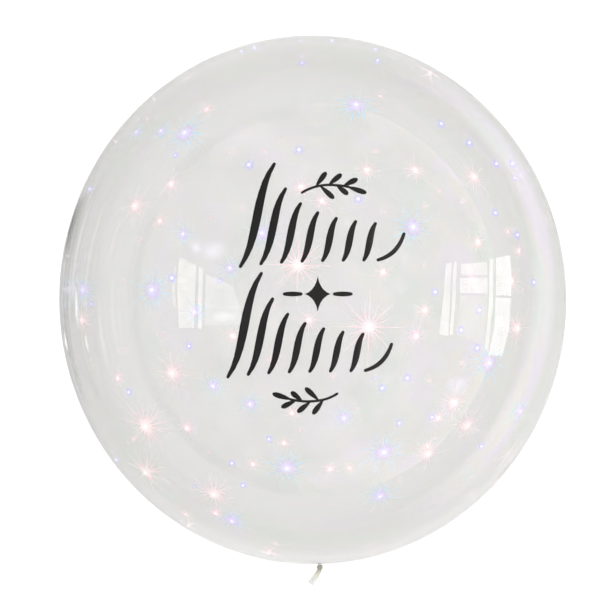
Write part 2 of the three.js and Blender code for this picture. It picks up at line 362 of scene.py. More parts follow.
def pleat_tree():
    sizes = {
        "Pleats": ("Float", PLEATS),
        "Pleat Depth": ("Float", PLEAT_DEPTH),
        "Pleat Reach": ("Float", PLEAT_REACH),
        "Neck Radius": ("Float", NECK_RADIUS),
        "Middle Height": ("Float", CENTRE.z),
        "Film": ("Material", None),
    }
    tree, size = new_tree("Pleats and rest spot", sizes)
    place = add(tree, SEPARATE, add(tree, POSITION))
    height = add(tree, MATH, (place.outputs["Z"], size["Middle Height"]), operation="SUBTRACT")
    flat = add(tree, COMBINE, {"X": place.outputs["X"], "Z": height})
    radius = add(tree, VECTOR_MATH, flat, operation="LENGTH").outputs["Value"]
    turn = add(tree, MATH, (place.outputs["X"], height), operation="ARCTAN2")
    fine = add(tree, MATH, (turn, size["Pleats"]), operation="MULTIPLY")
    fine = add(tree, MATH, fine, operation="SINE")
    # A slower wave makes some pleats run further up the bubble than others.
    slow = add(tree, MATH, (turn, SLOW_WAVES), operation="MULTIPLY")
    slow = add(tree, MATH, slow, operation="SINE")
    uneven = add(tree, MAP_RANGE, (slow, -1.0, 1.0, SHORTEST_PLEAT, 1.0))
    reach = add(tree, MATH, (size["Pleat Reach"], uneven), operation="MULTIPLY")
    behind = add(tree, MATH, (radius, -1.0), operation="MULTIPLY")
    fade = add(tree, MATH, (behind, reach), operation="DIVIDE")
    fade = add(tree, MATH, fade, operation="EXPONENT")
    off_neck = add(tree, MATH, (radius, size["Neck Radius"]), operation="SUBTRACT")
    grow = add(tree, MAP_RANGE, (off_neck, 0.0, PLEAT_GROWTH, 0.0, 1.0))
    near = add(tree, MATH, (place.outputs["Y"], 0.0), operation="LESS_THAN")
    wave = add(tree, MAP_RANGE, (fine, -1.0, 1.0, 0.0, -1.0))
    depth = size["Pleat Depth"]
    for factor in (wave, fade, grow, near):
        depth = add(tree, MATH, (depth, factor), operation="MULTIPLY")
    facing = add(tree, "GeometryNodeInputNormal")
    push = add(tree, VECTOR_MATH, {0: facing, "Scale": depth}, operation="SCALE")
    pleated = add(tree, "GeometryNodeSetPosition", {"Geometry": size["Geometry"], "Offset": push})
    lifted = add(tree, SEPARATE, add(tree, POSITION))
    above = add(tree, MATH, (lifted.outputs["Z"], 0.0), operation="MAXIMUM")
    resting = add(tree, COMBINE, {"X": lifted.outputs["X"], "Y": lifted.outputs["Y"], "Z": above})
    pressed = add(tree, "GeometryNodeSetPosition", {"Geometry": pleated, "Position": resting})
    whole = add(tree, REALIZE, pressed)
    dressed = add(tree, SET_MATERIAL, {"Geometry": whole, "Material": size["Film"]})
    add(tree, "NodeGroupOutput", dressed)
    return tree


print("pleats:", PLEATS, "round the neck, fading over", round(PLEAT_REACH / MM), "mm")

# %% [markdown]
# A sheet without thickness has no inside, so light would bend into it and never out again. Solidify
# gives the skin an inner wall, and it grows inwards so that the outline stays inside the frame's own
# solid.

# %% Run the pleats and give the film its wall
WALL = 0.5 * MM
run_tree(film, pleat_tree(), {"Film": FILM})
wall = film.modifiers.new("wall", "SOLIDIFY")
wall.thickness = WALL
wall.offset = -1
keep_result(film)
film.data.shade_smooth()
print("film with its wall:", len(film.data.polygons), "faces")

# %% [markdown]
# The film rides on the balloon's only body and stands in for the frame's solid bubble. The real film is
# thin and clear, so the floor under it stays as light as beside it. Light that comes through clear
# walls can't be traced without much noise, so the film takes no part in shadows at all.

# %% Place the film on its body
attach(film, "root")
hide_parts("bubble")
film.visible_shadow = False
film.visible_diffuse = False
print("the crown is", round(max(v.co.y for v in film.data.vertices) / MM), "mm from the middle")

# %% [markdown]
# ## The tail and the tie
# Beyond the tie the gathered film opens into a short strip, cut off at its end. A cloth simulation
# could crumple it, but at 20 mm a stack of rings that starts round and fans out flat shows the same and
# is exact.

# %% Material of the gathered film
TAIL_LENGTH = 19 * MM
TAIL_WIDTH = 6 * MM
TAIL_THICKNESS = 1.2 * MM
TAIL_LEAN = math.radians(34)
CREASE_WIDTH = 1.2 * MM
CREASE_DEPTH = 0.3 * MM
CREASE_STRETCH = 5


def gathered_clear_film():
    # Many layers of the same clear PVC lie on each other here, drawn together by hand. To the eye they
    # are pale olive wax rather than glass, darkest at the tie, where the layers are pressed together.
    material, tree = new_material("gathered_clear_film")
    place = add(tree, COORDINATES).outputs["Object"]
    along = add(tree, SEPARATE, place).outputs["Y"]
    tail_start = -HALF_LENGTH - NECK_LENGTH
    share = add(
        tree, MAP_RANGE, (along, tail_start, tail_start - TAIL_LENGTH * math.cos(TAIL_LEAN), 0.0, 1.0)
    )
    colour = add(tree, COLOUR_RAMP, share, stops=[(0.0, "#C4C4AC"), (0.4, "#E4E5D4"), (1.0, "#F2F2F4")])
    # The gathers run along the strip, so the creases' pattern is stretched in that direction.
    turned = add(
        tree, "ShaderNodeMapping",
        {"Vector": place, "Rotation": (0, 0, TAIL_LEAN), "Scale": (1.0, 1 / CREASE_STRETCH, 1.0)},
    )
    crease = add(tree, NOISE, {"Vector": turned, "Scale": 1 / CREASE_WIDTH, "Detail": 2.0})
    bump = add(tree, BUMP, {"Height": crease, "Strength": 0.7, "Distance": CREASE_DEPTH})
    strip = add(tree, PRINCIPLED, {
        "Base Color": colour, "Roughness": 0.25, "IOR": FILM_IOR, "Transmission Weight": 0.5,
        "Normal": bump,
    })
    add(tree, SURFACE_OUTPUT, strip)
    return material


GATHERED = gathered_clear_film()
print("made", GATHERED.name)

# %% [markdown]
# The strip follows a line that bends to the left, as in the photograph. Each ring across it is an
# ellipse that grows wider and flatter, with a slow wave in it, because gathered film keeps some of its
# folds.

# %% Tail of gathered film
TAIL_SIDES = 48
TAIL_RINGS = 28
TAIL_FOLDS = 3
FOLD_HEIGHT = 0.6 * MM
TAIL_OVERLAP = 0.3 * MM
TAIL_STRAIGHT = TAIL_LENGTH / 10


def tail_rings():
    """Rings that start as round as the neck and fan out flat, along a line that bends to the left."""
    start = Vector((0, -HALF_LENGTH - NECK_LENGTH + TAIL_OVERLAP))
    end = start + Vector((-math.sin(TAIL_LEAN), -math.cos(TAIL_LEAN))) * TAIL_LENGTH
    bend = start + Vector((0, -TAIL_STRAIGHT))
    for i in range(TAIL_RINGS):
        t = i / (TAIL_RINGS - 1)
        middle = start * (1 - t) ** 2 + bend * 2 * t * (1 - t) + end * t * t
        forward = ((bend - start) * (1 - t) + (end - bend) * t).normalized()
        fan = math.sin(t * math.pi / 2)
        half_width = NECK_RADIUS + (TAIL_WIDTH / 2 - NECK_RADIUS) * fan
        half_thick = NECK_RADIUS + (TAIL_THICKNESS / 2 - NECK_RADIUS) * fan
        points = []
        for k in range(TAIL_SIDES):
            turn = 2 * math.pi * k / TAIL_SIDES
            across = math.cos(turn)
            fold = FOLD_HEIGHT * fan * math.sin(across * math.pi * TAIL_FOLDS / 2)
            side = Vector((-forward.y, forward.x)) * half_width * across
            height = half_thick * math.sin(turn) + fold
            points.append(CENTRE + Vector((middle.x + side.x, middle.y + side.y, height)))
        yield points


film_tail = lofted("film_tail", list(tail_rings()))
film_tail.data.materials.append(GATHERED)
# Mirrored in the film, the tail would be a long dark smear beside the neck. The photograph has none.
film_tail.visible_glossy = False
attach(film_tail, "root")
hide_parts("bubble")
tail_end = min(v.co.y for v in film_tail.data.vertices)
print("the tail ends", round(-tail_end / MM, 1), "mm from the middle")

# %% [markdown]
# The tie is thread wound tightly round the neck. Four separate rings would look much the same, but a
# real winding is one path, so Geometry Nodes make it: a helix gets a round section and closed ends.

# %% Tie of wound thread
THREAD_WIDTH = 1.1 * MM
THREAD_TURNS = 4
THREAD_RADIUS_SHARE = 0.48
TURN_CORNERS = 48
SECTION_CORNERS = 10


def tie_tree():
    sizes = {
        "Turns": ("Float", THREAD_TURNS),
        "Winding Radius": ("Float", 1.0),
        "Thread Width": ("Float", THREAD_WIDTH),
        "Start": ("Vector", (0, 0, 0)),
        "Thread": ("Material", None),
    }
    tree, size = new_tree("Wound thread", sizes)
    rounds = add(tree, MATH, (size["Turns"], 1.0), operation="SUBTRACT")
    height = add(tree, MATH, (rounds, size["Thread Width"]), operation="MULTIPLY")
    helix = add(tree, "GeometryNodeCurveSpiral", {
        "Resolution": TURN_CORNERS, "Rotations": rounds, "Start Radius": size["Winding Radius"],
        "End Radius": size["Winding Radius"], "Height": height,
    })
    thin = add(tree, MATH, (size["Thread Width"], THREAD_RADIUS_SHARE), operation="MULTIPLY")
    section = add(tree, "GeometryNodeCurvePrimitiveCircle", {"Resolution": SECTION_CORNERS, "Radius": thin})
    thread = add(
        tree, "GeometryNodeCurveToMesh", {"Curve": helix, "Profile Curve": section, "Fill Caps": True}
    )
    # The spiral climbs along Z, and a quarter turn lays it along the neck.
    laid = add(
        tree, "GeometryNodeTransform",
        {"Geometry": thread, "Translation": size["Start"], "Rotation": (math.pi / 2, 0, 0)},
    )
    whole = add(tree, REALIZE, laid)
    dressed = add(tree, SET_MATERIAL, {"Geometry": whole, "Material": size["Thread"]})
    add(tree, "NodeGroupOutput", dressed)
    return tree


print("thread", round(THREAD_WIDTH / MM, 1), "mm wide, wound", THREAD_TURNS, "times")

# %% [markdown]
# The thread is twisted polyester. Its plies are too fine to build at this size, so a wave with their
# real spacing of 0.4 mm gives them as a change of tone and a small bump.

# %% Thread material and the wound tie
PLY_SPACING = 0.4 * MM
PLY_DEPTH = 0.1 * MM


def polyester_thread():
    # Spun polyester is dull with a faint sheen. To the eye it is a darker, matte knot by glossy film.
    material, tree = new_material("polyester_thread")
    place = add(tree, COORDINATES).outputs["Object"]
    ply = add(
        tree, "ShaderNodeTexWave", {"Vector": place, "Scale": 1 / PLY_SPACING, "Distortion": 0.5},
        bands_direction="DIAGONAL",
    )
    colour = add(tree, COLOUR_RAMP, ply.outputs["Fac"], stops=[(0.0, "#7E7E6C"), (1.0, "#B4B4A0")])
    bump = add(tree, BUMP, {"Height": ply.outputs["Fac"], "Strength": 0.5, "Distance": PLY_DEPTH})
    thread = add(
        tree, PRINCIPLED, {"Base Color": colour, "Roughness": 0.7, "Sheen Weight": 0.2, "Normal": bump}
    )
    add(tree, SURFACE_OUTPUT, thread)
    return material


tie_low, tie_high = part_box("neck_tie")
thread_wound = new_object("neck_thread", bpy.data.meshes.new("neck_thread"))
winding = (tie_high.x - tie_low.x) / 2 - THREAD_WIDTH / 2
tie_values = {
    "Winding Radius": winding,
    "Start": (0, tie_high.y - THREAD_WIDTH / 2, CENTRE.z),
    "Thread": polyester_thread(),
}
run_tree(thread_wound, tie_tree(), tie_values)
thread_wound.data.shade_smooth()
thread_wound.visible_glossy = False
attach(thread_wound, "root")
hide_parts("neck_tie")
print("the tie is", [round(c / MM, 1) for c in tie_high - tie_low], "mm across, along and up")

# %% [markdown]
# ## The black vinyl
# The ornament is cut from matte black vinyl, which clings to the film. It could be drawn again as
# curves, but each piece starts as a copy of the frame's own solid, so its outline is right. The solid
# follows the frame's flats, so the copy is cut finer and each corner is moved onto the round of the
# real film.

# %% Vinyl that follows the film
VINYL_THICKNESS = 0.5 * MM
VINYL_LIFT = 0.05 * MM
LONGEST_EDGE = 5 * MM
OUTWARD_SLANT = 0.7
SPLITTING_ROUNDS = 5
WELD_DISTANCE = 0.001 * MM


def follow_film(node):
    """A closed copy of a vinyl solid whose two faces follow the egg."""
    mesh = bmesh.new()
    mesh.from_mesh(node.data)
    bmesh.ops.remove_doubles(mesh, verts=mesh.verts, dist=WELD_DISTANCE)
    mesh.normal_update()
    # A number on every corner tells its side, 1 outside and 0 inside. Corners added later inherit it.
    side = mesh.verts.layers.float.new("side")
    for face in mesh.faces:
        slant = face.normal.dot((face.calc_center_median() - CENTRE).normalized())
        if slant > OUTWARD_SLANT:
            for v in face.verts:
                v[side] = 1.0
    for _ in range(SPLITTING_ROUNDS):
        on_one_side = [e for e in mesh.edges if e.verts[0][side] == e.verts[1][side]]
        long_edges = [e for e in on_one_side if e.calc_length() > LONGEST_EDGE]
        if not long_edges:
            break
        for edge in long_edges:
            bmesh.utils.edge_split(edge, edge.verts[0], 0.5)
    bmesh.ops.triangulate(mesh, faces=mesh.faces)
    for v in mesh.verts:
        out = v.co - CENTRE
        to_film = math.sqrt(sum((c / a) ** 2 for c, a in zip(out, AXES)))
        height = VINYL_THICKNESS if v[side] > 0.5 else VINYL_LIFT
        v.co = CENTRE + out / to_film * (1 + height * to_film / out.length)
    data = bpy.data.meshes.new(node.name)
    mesh.to_mesh(data)
    mesh.free()
    return data


vinyl_nodes = [s["node"] for s in frame["record"]["subparts"] if s["material_slot"] == "black_vinyl"]
print("vinyl pieces:", len(vinyl_nodes))

# %% [markdown]
# Sign vinyl is calendered: rolled out between cylinders, which leaves a fine matte grain. Its grain is
# finer than a pixel, so it shows only as broken light, and we give it to the roughness and to a very
# small bump.

# %% Vinyl material and the ornament
GRAIN_WIDTH = 0.8 * MM
GRAIN_DEPTH = 0.05 * MM
CLOUD_WIDTH = 30 * MM
SMOOTHEST = 0.42
ROUGHEST = 0.62
SHARP_ANGLE = math.radians(40)


def matte_black_vinyl():
    # PVC like the film, but with a matte face. To the eye it is a soft black without any mirror image.
    material, tree = new_material("matte_black_vinyl")
    place = add(tree, COORDINATES).outputs["Object"]
    grain = add(tree, NOISE, {"Vector": place, "Scale": 1 / GRAIN_WIDTH, "Detail": 2.0})
    cloud = add(tree, NOISE, {"Vector": place, "Scale": 1 / CLOUD_WIDTH, "Detail": 1.0})
    colour = add(tree, COLOUR_RAMP, cloud, stops=[(0.3, "#161616"), (0.7, "#1E1E1E")])
    rough = add(tree, MAP_RANGE, (grain, 0.0, 1.0, SMOOTHEST, ROUGHEST))
    bump = add(tree, BUMP, {"Height": grain, "Strength": 0.15, "Distance": GRAIN_DEPTH})
    vinyl = add(tree, PRINCIPLED, {
        "Base Color": colour, "Roughness": rough, "IOR": FILM_IOR, "Specular IOR Level": 0.35,
        "Normal": bump,
    })
    add(tree, SURFACE_OUTPUT, vinyl)
    return material


VINYL = matte_black_vinyl()
for name in vinyl_nodes:
    data = follow_film(frame["nodes"][name])
    data.materials.clear()
    data.materials.append(VINYL)
    data.shade_smooth()
    data.set_sharp_from_angle(angle=SHARP_ANGLE)
    cut = new_object(f"vinyl_{name}", data)
    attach(cut, "root")
    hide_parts(name)
print("last vinyl piece has", len(data.polygons), "faces")

# %% [markdown]
# ## The glints
# Inside the film hang points of light, each a white core in a burst of fine rays, blue or pink. Glare added
# to the finished picture would be gone in a model that is looked at from other sides, so each is built: a
# bright bead with a fan of hair-fine bristles, seated on the inner wall, whose glow is a painted glint and
# painted glare. A bristle tapers to nothing, so it covers less and less of a pixel towards its tip and seems
# to fade, without any see-through material.

# %% Glint materials
GLINT_CORE_LIGHT = 1.8
GLARE_RAY_LIGHT = 1.3
BEAD_SPECKLE = 2 * MM


def painted_glint_core():
    # A painted glint: the bead glows as the white core of a glint, with a breath of violet, though it is no
    # lamp.
    material, tree = new_material("painted_glint_core")
    place = add(tree, COORDINATES).outputs["Object"]
    speckle = add(tree, NOISE, {"Vector": place, "Scale": 1 / BEAD_SPECKLE, "Detail": 1.0})
    colour = add(tree, COLOUR_RAMP, speckle, stops=[(0.0, "#FFFFFF"), (1.0, "#F4F2FF")])
    light = add(tree, EMISSION, {"Color": colour, "Strength": GLINT_CORE_LIGHT})
    add(tree, SURFACE_OUTPUT, light)
    return material


def painted_glare_ray(name, *stops):
    """Painted glare: the bristles glow as the rays of a glint, though they carry no light. The tree stores
    how far along each corner is.
    """
    material, tree = new_material(name)
    reach = add(tree, "ShaderNodeAttribute", attribute_name="reach", attribute_type="GEOMETRY")
    colour = add(tree, COLOUR_RAMP, reach.outputs["Fac"], stops=stops)
    light = add(tree, EMISSION, {"Color": colour, "Strength": GLARE_RAY_LIGHT})
    add(tree, SURFACE_OUTPUT, light)
    return material


# The glowing bristles are painted glare rays: white by the bead, then violet and pale cyan, or a light pink.
# The dim ones have no white at all and are painted glints out of focus.
BLUE_STOPS = (0.08, "#EAE6FF"), (0.28, "#DCC8FC"), (0.34, "#BCE2FC"), (1.0, "#D2F0FF")
PINK_STOPS = (0.1, "#FFF2F3"), (0.3, "#FCDCE0"), (0.5, "#F8E4E8"), (1.0, "#F4EAEE")
VIOLET_STOPS = (0.1, "#D2CEFF"), (0.6, "#CBCBFF"), (1.0, "#E2E6FF")
DIM_PINK_STOPS = (0.0, "#EBDDDF"), (1.0, "#E8E0E0")
BEAD = painted_glint_core()
BLUE = painted_glare_ray("blue_painted_glare_ray", *BLUE_STOPS)
PINK = painted_glare_ray("pink_painted_glare_ray", *PINK_STOPS)
VIOLET = painted_glare_ray("violet_painted_glare_ray", *VIOLET_STOPS)
DIM_PINK = painted_glare_ray("dim_pink_painted_glare_ray", *DIM_PINK_STOPS)
print("glint materials:", [m.name for m in (BEAD, BLUE, PINK, VIOLET, DIM_PINK)])

# %% [markdown]
# A burst starts from rings of directions that carry the bristles. Some lie flat on the wall, and others
# lean into the bubble, so that a burst still shows when it is seen from the side. A cone with three
# sides is enough for a bristle, because it is thinner than a pixel and there are thousands of them.

# %% Bristles and rings of rays
BRISTLE_SIDES = 3


def bristles(tree, size, directions, length):
    """One bristle from the middle of the burst in each direction that a mesh's corners give."""
    needle = add(tree, "GeometryNodeMeshCone", {
        "Vertices": BRISTLE_SIDES, "Radius Top": 0.0, "Radius Bottom": size["Ray Radius"],
        "Depth": length,
    }, fill_type="NGON")
    place = add(tree, SEPARATE, add(tree, POSITION))
    along = add(tree, MATH, (place.outputs["Z"], size["Ray Length"]), operation="DIVIDE")
    marked = add(
        tree, "GeometryNodeStoreNamedAttribute",
        {"Geometry": needle.outputs["Mesh"], "Name": "reach", "Value": along},
        data_type="FLOAT", domain="POINT",
    )
    direction = add(tree, POSITION)
    rotation = add(tree, "FunctionNodeAlignRotationToVector", {"Vector": direction}, axis="Z")
    fan = add(
        tree, "GeometryNodeInstanceOnPoints",
        {"Points": directions, "Instance": marked, "Rotation": rotation.outputs["Rotation"]},
    )
    # The mesh only gave directions, so every bristle now moves to the middle of the burst.
    middle = add(tree, COMBINE)
    return add(tree, "GeometryNodeSetPosition", {"Geometry": fan, "Position": middle})


def ray_ring(tree, size, count, lean, share, start_turn):
    """A ring of rays that lean into the bubble by an angle, with a share of the full length."""
    circle = add(tree, "GeometryNodeMeshCircle", {"Vertices": count, "Radius": 1.0})
    lean_down = (0, 0, -math.tan(lean))
    turned = add(
        tree, "GeometryNodeTransform",
        {"Geometry": circle, "Translation": lean_down, "Rotation": (0, 0, start_turn)},
    )
    length = add(tree, MATH, (size["Ray Length"], share), operation="MULTIPLY")
    return bristles(tree, size, turned, length)


print("a bristle has", BRISTLE_SIDES + 1, "faces")

# %% [markdown]
# Now the burst itself: two flat rings of rays, a leaning ring, a short halo in every direction, and the
# bead in the middle. The bead's faces carry a mark, which tells them from the bristles when the
# materials are set.

# %% One burst of rays
RAY_COUNT = 8
SHORT_RAYS = 0.62
LEANING_RAYS = 0.75
RAY_LEAN = math.radians(50)


def burst_of_rays(tree, size):
    every_way = add(tree, "GeometryNodeMeshIcoSphere", {"Radius": 1.0, "Subdivisions": 2})
    fans = [
        ray_ring(tree, size, RAY_COUNT, 0.0, 1.0, 0.0),
        ray_ring(tree, size, RAY_COUNT, 0.0, SHORT_RAYS, math.pi / RAY_COUNT),
        ray_ring(tree, size, RAY_COUNT, RAY_LEAN, LEANING_RAYS, 0.0),
        bristles(tree, size, every_way, size["Halo Radius"]),
    ]
    bead = add(tree, "GeometryNodeMeshIcoSphere", {"Radius": size["Core Radius"], "Subdivisions": 2})
    marked = add(
        tree, "GeometryNodeStoreNamedAttribute", {"Geometry": bead, "Name": "is_bead", "Value": True},
        data_type="BOOLEAN", domain="FACE",
    )
    return joined(tree, [*fans, marked])


print("rays in a burst:", 3 * RAY_COUNT, "and a halo round the bead")

# %% [markdown]
# The seats are points. Some come in with the piece, each with its own size, and the tree scatters
# others over the egg with a fixed seed. The face already has the glints that are listed below, so the
# scattered ones fill the sides and the back.

# %% Seats on the inner wall
SCATTERED_SMALLEST = 0.4
SCATTERED_LARGEST = 0.9
FACE_EDGE = 0.6
BALL_SEGMENTS = 48
BALL_RINGS = 32
BACK_SLANT = -0.9
SIDE_SLANT = 0.5
BACK_DENSITY = 0.5
SIDE_DENSITY = 0.9


def burst_seats(tree, size, axes, lift):
    ball = add(tree, "GeometryNodeMeshUVSphere", {"Segments": BALL_SEGMENTS, "Rings": BALL_RINGS})
    egg = add(tree, "GeometryNodeTransform", {"Geometry": ball, "Translation": lift, "Scale": axes})
    upright = add(tree, SEPARATE, add(tree, "GeometryNodeInputNormal")).outputs["Z"]
    not_face = add(tree, MAP_RANGE, (upright, BACK_SLANT, SIDE_SLANT, BACK_DENSITY, SIDE_DENSITY))
    on_face = add(tree, MATH, (upright, FACE_EDGE), operation="GREATER_THAN")
    off_face = add(tree, MATH, (1.0, on_face), operation="SUBTRACT")
    wanted = add(tree, MATH, (not_face, off_face), operation="MULTIPLY")
    per_area = add(tree, MATH, (size["Scattered"], wanted), operation="MULTIPLY")
    scattered = add(
        tree, "GeometryNodeDistributePointsOnFaces",
        {"Mesh": egg, "Density": per_area, "Seed": size["Seed"]}, distribute_method="RANDOM",
    )
    small = add(
        tree, "FunctionNodeRandomValue",
        {2: SCATTERED_SMALLEST, 3: SCATTERED_LARGEST, "Seed": size["Seed"]}, data_type="FLOAT",
    )
    sized = add(
        tree, "GeometryNodeStoreNamedAttribute",
        {"Geometry": scattered.outputs["Points"], "Name": "burst_size", "Value": small.outputs[1]},
        data_type="FLOAT", domain="POINT",
    )
    listed = add(tree, "GeometryNodeMeshToPoints", {"Mesh": size["Geometry"]})
    return joined(tree, [listed, sized])


print("scattered glints are", SCATTERED_SMALLEST, "to", SCATTERED_LARGEST, "of a full one")

# %% [markdown]
# The last step puts a burst on each seat. The way the egg faces there is the gradient of its equation,
# and the burst's own Z is turned to it, and then by a seeded angle, so that no two bursts stand alike.
# The sizes of a glint are a row of millimetres. The last one, the wall, is how far the bead's middle
# lies inside the outside of the film, so that no bead cuts through it.

# %% Glints in Geometry Nodes
SIZE_NAMES = ("Ray Length", "Ray Radius", "Core Radius", "Halo Radius", "Wall")
BURST = (33, 0.85, 2.2, 6, 5)


def glint_tree():
    sizes = {label: ("Float", value * MM) for label, value in zip(SIZE_NAMES, BURST)}
    sizes["Half Width"] = ("Float", HALF_WIDTH)
    sizes["Half Length"] = ("Float", HALF_LENGTH)
    sizes["Middle Height"] = ("Float", CENTRE.z)
    sizes["Scattered"] = sizes["Seed"] = ("Int", 1)
    sizes["Bristle"] = sizes["Bead"] = ("Material", None)
    tree, size = new_tree("Glints", sizes)
    burst = burst_of_rays(tree, size)
    inner_width = add(tree, MATH, (size["Half Width"], size["Wall"]), operation="SUBTRACT")
    inner_length = add(tree, MATH, (size["Half Length"], size["Wall"]), operation="SUBTRACT")
    axes = add(tree, COMBINE, {"X": inner_width, "Y": inner_length, "Z": inner_width})
    lift = add(tree, COMBINE, {"Z": size["Middle Height"]})
    points = burst_seats(tree, size, axes, lift)
    out = add(tree, VECTOR_MATH, (add(tree, POSITION), lift), operation="SUBTRACT")
    squared = add(tree, VECTOR_MATH, (axes, axes), operation="MULTIPLY")
    facing = add(tree, VECTOR_MATH, (out, squared), operation="DIVIDE")
    aligned = add(tree, "FunctionNodeAlignRotationToVector", {"Vector": facing}, axis="Z")
    spin = add(
        tree, "FunctionNodeRandomValue", {2: 0.0, 3: math.pi, "Seed": size["Seed"]}, data_type="FLOAT"
    )
    turn = add(tree, COMBINE, {"Z": spin.outputs[1]})
    spun = add(
        tree, "FunctionNodeRotateRotation",
        {"Rotation": aligned.outputs["Rotation"], "Rotate By": turn}, rotation_space="LOCAL",
    )
    burst_size = add(tree, "GeometryNodeInputNamedAttribute", {"Name": "burst_size"}, data_type="FLOAT")
    placed = add(
        tree, "GeometryNodeInstanceOnPoints",
        {"Points": points, "Instance": burst, "Rotation": spun, "Scale": burst_size},
    )
    whole = add(tree, REALIZE, placed)
    dressed = add(tree, SET_MATERIAL, {"Geometry": whole, "Material": size["Bristle"]})
    is_bead = add(tree, "GeometryNodeInputNamedAttribute", {"Name": "is_bead"}, data_type="BOOLEAN")
    dressed = add(
        tree, SET_MATERIAL, {"Geometry": dressed, "Selection": is_bead, "Material": size["Bead"]}
    )
    add(tree, "NodeGroupOutput", dressed)
    return tree


GLINT_TREE = glint_tree()
print("the tree of the glints has", len(GLINT_TREE.nodes), "nodes")

# %% [markdown]
# The larger glints are listed, as the pixel where each stands in the photograph, under its size. A random
# scatter would be shorter, but the pattern of the large ones is what the eye remembers.
# A helper puts them on the inner side of the upper wall, so they sit on the film seen from any side.

# %% Seats of the larger glints
BLUE_BURSTS = {
    1.0: [(185, 133), (356, 105), (152, 290), (413, 227), (489, 363), (384, 452), (287, 468)],
    0.8: [(262, 233), (380, 496)],
    0.62: [(183, 234), (195, 312), (230, 268), (213, 386), (250, 404), (344, 418), (520, 411)],
}
BLUE_SPARKS = {
    1.0: [
        (172, 278), (249, 165), (299, 150), (441, 124), (469, 143), (496, 164), (512, 164), (358, 199)
    ],
    0.9: [
        (495, 213), (517, 235), (435, 292), (479, 310), (461, 330), (477, 348), (407, 378), (382, 388)
    ],
    0.8: [
        (432, 417), (399, 423), (481, 446), (129, 392), (189, 346), (269, 439), (232, 463), (243, 485)
    ],
}
PINK_BURSTS = {
    1.3: [(369, 327), (298, 265), (146, 426)],
    1.0: [(172, 373), (146, 472), (214, 494)],
    0.8: [(135, 206), (474, 177), (511, 281), (517, 328), (454, 403), (428, 454)],
    0.62: [(415, 170), (367, 170), (322, 201), (309, 320), (82, 320), (171, 184)],
}
PINK_STARS = {
    1.0: [
        (301, 187), (383, 272), (425, 310), (416, 336), (478, 242), (472, 280), (233, 336), (187, 428)
    ],
    0.8: [
        (284, 443), (292, 413), (438, 418), (498, 485), (118, 378), (160, 221), (253, 464), (330, 469)
    ],
}
PINK_MOTES = {
    1.0: [
        (230, 152), (265, 151), (210, 218), (375, 151), (425, 206), (463, 201), (161, 335), (462, 363)
    ],
    0.7: [
        (282, 139), (124, 282), (274, 305), (439, 191), (384, 211), (424, 265), (209, 452), (357, 408)
    ],
    0.8: [
        (333, 376), (435, 438), (429, 380), (500, 318), (140, 240), (200, 300), (300, 430), (400, 480)
    ],
}


def glint_seats(name, sizes_and_pixels, inside):
    """A piece with one point for each listed glint, which carries the glint's size."""
    piece = new_object(name, bpy.data.meshes.new(name))
    seats = [(pixel, share) for share, pixels in sizes_and_pixels.items() for pixel in pixels]
    piece.data.from_pydata([on_film(*pixel, inside)[0] for pixel, _ in seats], [], [])
    shares = piece.data.attributes.new("burst_size", "FLOAT", "POINT")
    shares.data.foreach_set("value", [share for _, share in seats])
    return piece


print("listed bursts:", sum(len(row) for seats in (BLUE_BURSTS, PINK_BURSTS) for row in seats.values()))

# %% [markdown]
# Four sizes of glint are enough: bursts with long rays, stars and sparks with shorter ones, and dim
# motes that are all halo. Each piece has its seats, its sizes, how many more glints are scattered, its
# bristles' material and a seed of its own.

# %% Bursts, sparks and motes
SPARK = (10, 0.6, 1.85, 4, 3.5)
STAR = (17, 0.65, 1.6, 3.6, 3.5)
MOTE = (4.5, 0.7, 0.2, 4.5, 4.5)
GLINTS = [
    ("blue_bursts", BLUE_BURSTS, BURST, 9, BLUE, 3),
    ("blue_sparks", BLUE_SPARKS, SPARK, 26, VIOLET, 5),
    ("pink_bursts", PINK_BURSTS, BURST, 9, PINK, 8),
    ("pink_stars", PINK_STARS, STAR, 20, PINK, 11),
    ("pink_motes", PINK_MOTES, MOTE, 24, DIM_PINK, 13),
]
for name, seats, millimetres, scattered, bristle, seed in GLINTS:
    sizes = {label: value * MM for label, value in zip(SIZE_NAMES, millimetres)}
    others = {"Scattered": scattered, "Bristle": bristle, "Bead": BEAD, "Seed": seed}
    glints = glint_seats(name, seats, sizes["Wall"])
    run_tree(glints, GLINT_TREE, {**sizes, **others})
    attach(glints, "root")
    glints.visible_shadow = False
    print(name, len(glints.data.polygons), "faces")

# %% [markdown]
# ## Floor, light and what the film mirrors
# The balloon lies on a plain white floor under an even white sky, like a photographer's light tent.
# Clear film shows by what it mirrors, so it gets a room to mirror: dim and greenish on the left, pale
# lilac on the right. Walls and curtains could be modelled, but soft patches of colour on the sky do the
# same. The world gives that room only to light that the film has mirrored, and plain white to
# everything else.

# %% World
SKY_LIGHT = 1.2
ROOM_LEFT = 0.0
ROOM_RIGHT = 1.75
ROOM_STOPS = (0.4, "#AECCAA"), (0.46, "#E2E0DA"), (0.49, "#EEDCB4"), (0.53, "#E8DEDC"), (0.6, "#EED2FA")
PATCH_SCALE = 2.4
SHADE_SCALE = 3.0
SHADE_SHIFT = 0.5
DARK_END = -0.8
NOISE_LOW = 0.3
NOISE_HIGH = 0.7


def is_mirrored(tree):
    """1 for light that has been mirrored once or more, and 0 for everything else."""
    bounces = add(tree, "ShaderNodeLightPath").outputs["Glossy Depth"]
    return add(tree, MATH, (bounces, 0.5), operation="GREATER_THAN")


def room_patches(tree, way):
    """The room's soft patches of colour, by the way that the light comes from."""
    patches = add(tree, NOISE, {"Vector": way, "Scale": PATCH_SCALE, "Detail": 2.0, "Roughness": 0.6})
    return add(tree, COLOUR_RAMP, patches, stops=ROOM_STOPS)


